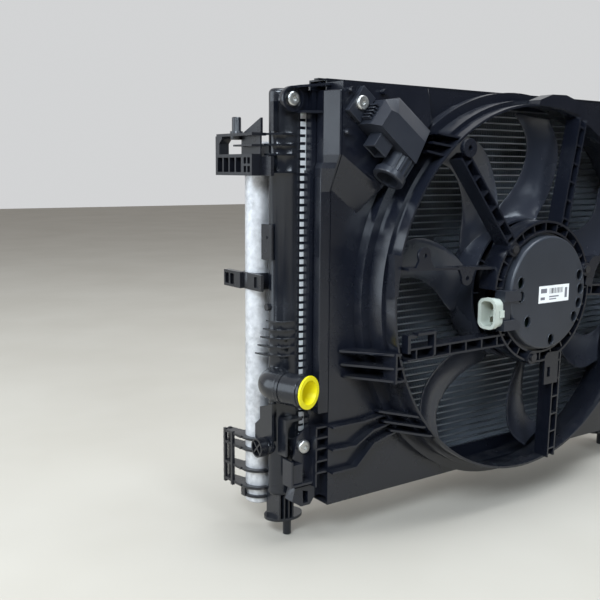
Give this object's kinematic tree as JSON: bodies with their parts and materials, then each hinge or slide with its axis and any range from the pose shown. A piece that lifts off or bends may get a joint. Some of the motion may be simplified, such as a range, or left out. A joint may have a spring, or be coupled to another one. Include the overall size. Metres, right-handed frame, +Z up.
{
  "type": "car radiator cooling module",
  "caption": "Car cooling module: aluminium radiator with plastic side tanks, condenser with receiver-drier, and a stepped fan shroud with an electric fan, relay and connectors.",
  "frame": {"origin": "middle of the bounding box in X and Y, at the tips of the two lower pins in Z", "axes": "+X along the core from the tank with the outlet and drain to the tank with the inlet, +Y from the fan side to the condenser side, +Z up"},
  "size_m": [0.6688, 0.2036, 0.5045],
  "materials": {
    "core_metal": "satin",
    "fin_metal": "matt",
    "header_metal": "satin",
    "tank_plastic": "satin, lightly grained",
    "bracket_plastic": "satin",
    "plug_plastic": "satin",
    "seal_rubber": "matt",
    "drier_metal": "matt, blotchy",
    "shroud_plastic": "satin, lightly grained",
    "fan_plastic": "satin",
    "motor_coating": "fine-grained satin",
    "steel": "satin",
    "screw_steel": "zinc plated",
    "magnet": "matt",
    "copper": "enamelled",
    "board": "satin",
    "connector_plastic": "satin",
    "relay_plastic": "satin",
    "pin_brass": "satin",
    "label": "matt"
  },
  "bodies": {
    "module": {"air_seals": "seal_rubber", "bearings": "steel", "condenser_brackets": "core_metal", "condenser_fins": "fin_metal", "condenser_rails": "core_metal", "condenser_tubes": "core_metal", "connector_body": "relay_plastic", "connector_pins": "pin_brass", "control_board": "board", "drier_links": "core_metal", "fan_shroud": "shroud_plastic", "header_gasket_left": "seal_rubber", "header_gasket_right": "seal_rubber", "header_left": "header_metal", "header_right": "header_metal", "inlet_spout": "tank_plastic", "manifold_left": "core_metal", "manifold_right": "core_metal", "motor_cap": "motor_coating", "motor_carrier": "shroud_plastic", "motor_connector": "connector_plastic", "motor_label": "label", "motor_screws": "steel", "mounting_bracket_left": "bracket_plastic", "mounting_bracket_right": "bracket_plastic", "outlet_spout": "tank_plastic", "port_block": "core_metal", "port_caps": "bracket_plastic", "radiator_fins": "fin_metal", "radiator_tubes": "core_metal", "receiver_cage": "bracket_plastic", "receiver_clip": "bracket_plastic", "receiver_drier": "drier_metal", "relay_box": "relay_plastic", "relay_bracket": "relay_plastic", "relay_heat_ribs": "relay_plastic", "relay_screw": "screw_steel", "round_socket": "relay_plastic", "shroud_screws": "screw_steel", "side_plate_bottom": "core_metal", "side_plate_top": "core_metal", "square_socket": "relay_plastic", "stator_core": "steel", "stator_tube": "motor_coating", "support_foot": "shroud_plastic", "tank_clip": "bracket_plastic", "tank_left": "tank_plastic", "tank_right": "tank_plastic", "top_rail": "tank_plastic", "windings": "copper"},
    "fan": {"fan_rotor": "fan_plastic", "rotor_cup": "steel", "rotor_magnets": "magnet", "motor_shaft": "steel", "fan_clip": "steel"},
    "outlet_plug": {"outlet_plug": "plug_plastic"},
    "inlet_plug": {"inlet_plug": "plug_plastic"},
    "drain_seal": {"drain_seal": "seal_rubber"},
    "drain_cock": {"drain_cock": "bracket_plastic"}
  },
  "joints": [
    {"name": "fan_spin", "type": "hinge", "parent": "module", "child": "fan", "pos_m": [0, 0.00377, 0.2683], "axis": [0, 1, 0], "continuous": true},
    {"name": "outlet_plug_pull", "type": "slide", "parent": "module", "child": "outlet_plug", "axis": [0.319, -0.9478, 0], "range_m": [0, 0.03]},
    {"name": "inlet_plug_pull", "type": "slide", "parent": "module", "child": "inlet_plug", "axis": [-0.319, -0.9478, 0], "range_m": [0, 0.03]},
    {"name": "drain_travel", "type": "slide", "parent": "module", "child": "drain_seal", "axis": [-1, 0, 0], "range_m": [0, 0.0045]},
    {"name": "drain_turn", "type": "hinge", "parent": "drain_seal", "child": "drain_cock", "pos_m": [-0.318, 0.02377, 0.107], "axis": [-1, 0, 0], "range_deg": [0, 540]}
  ],
  "couplings": [
    {"joint": "drain_turn", "follows": "drain_travel", "rad_per_m": 2094.4}
  ]
}
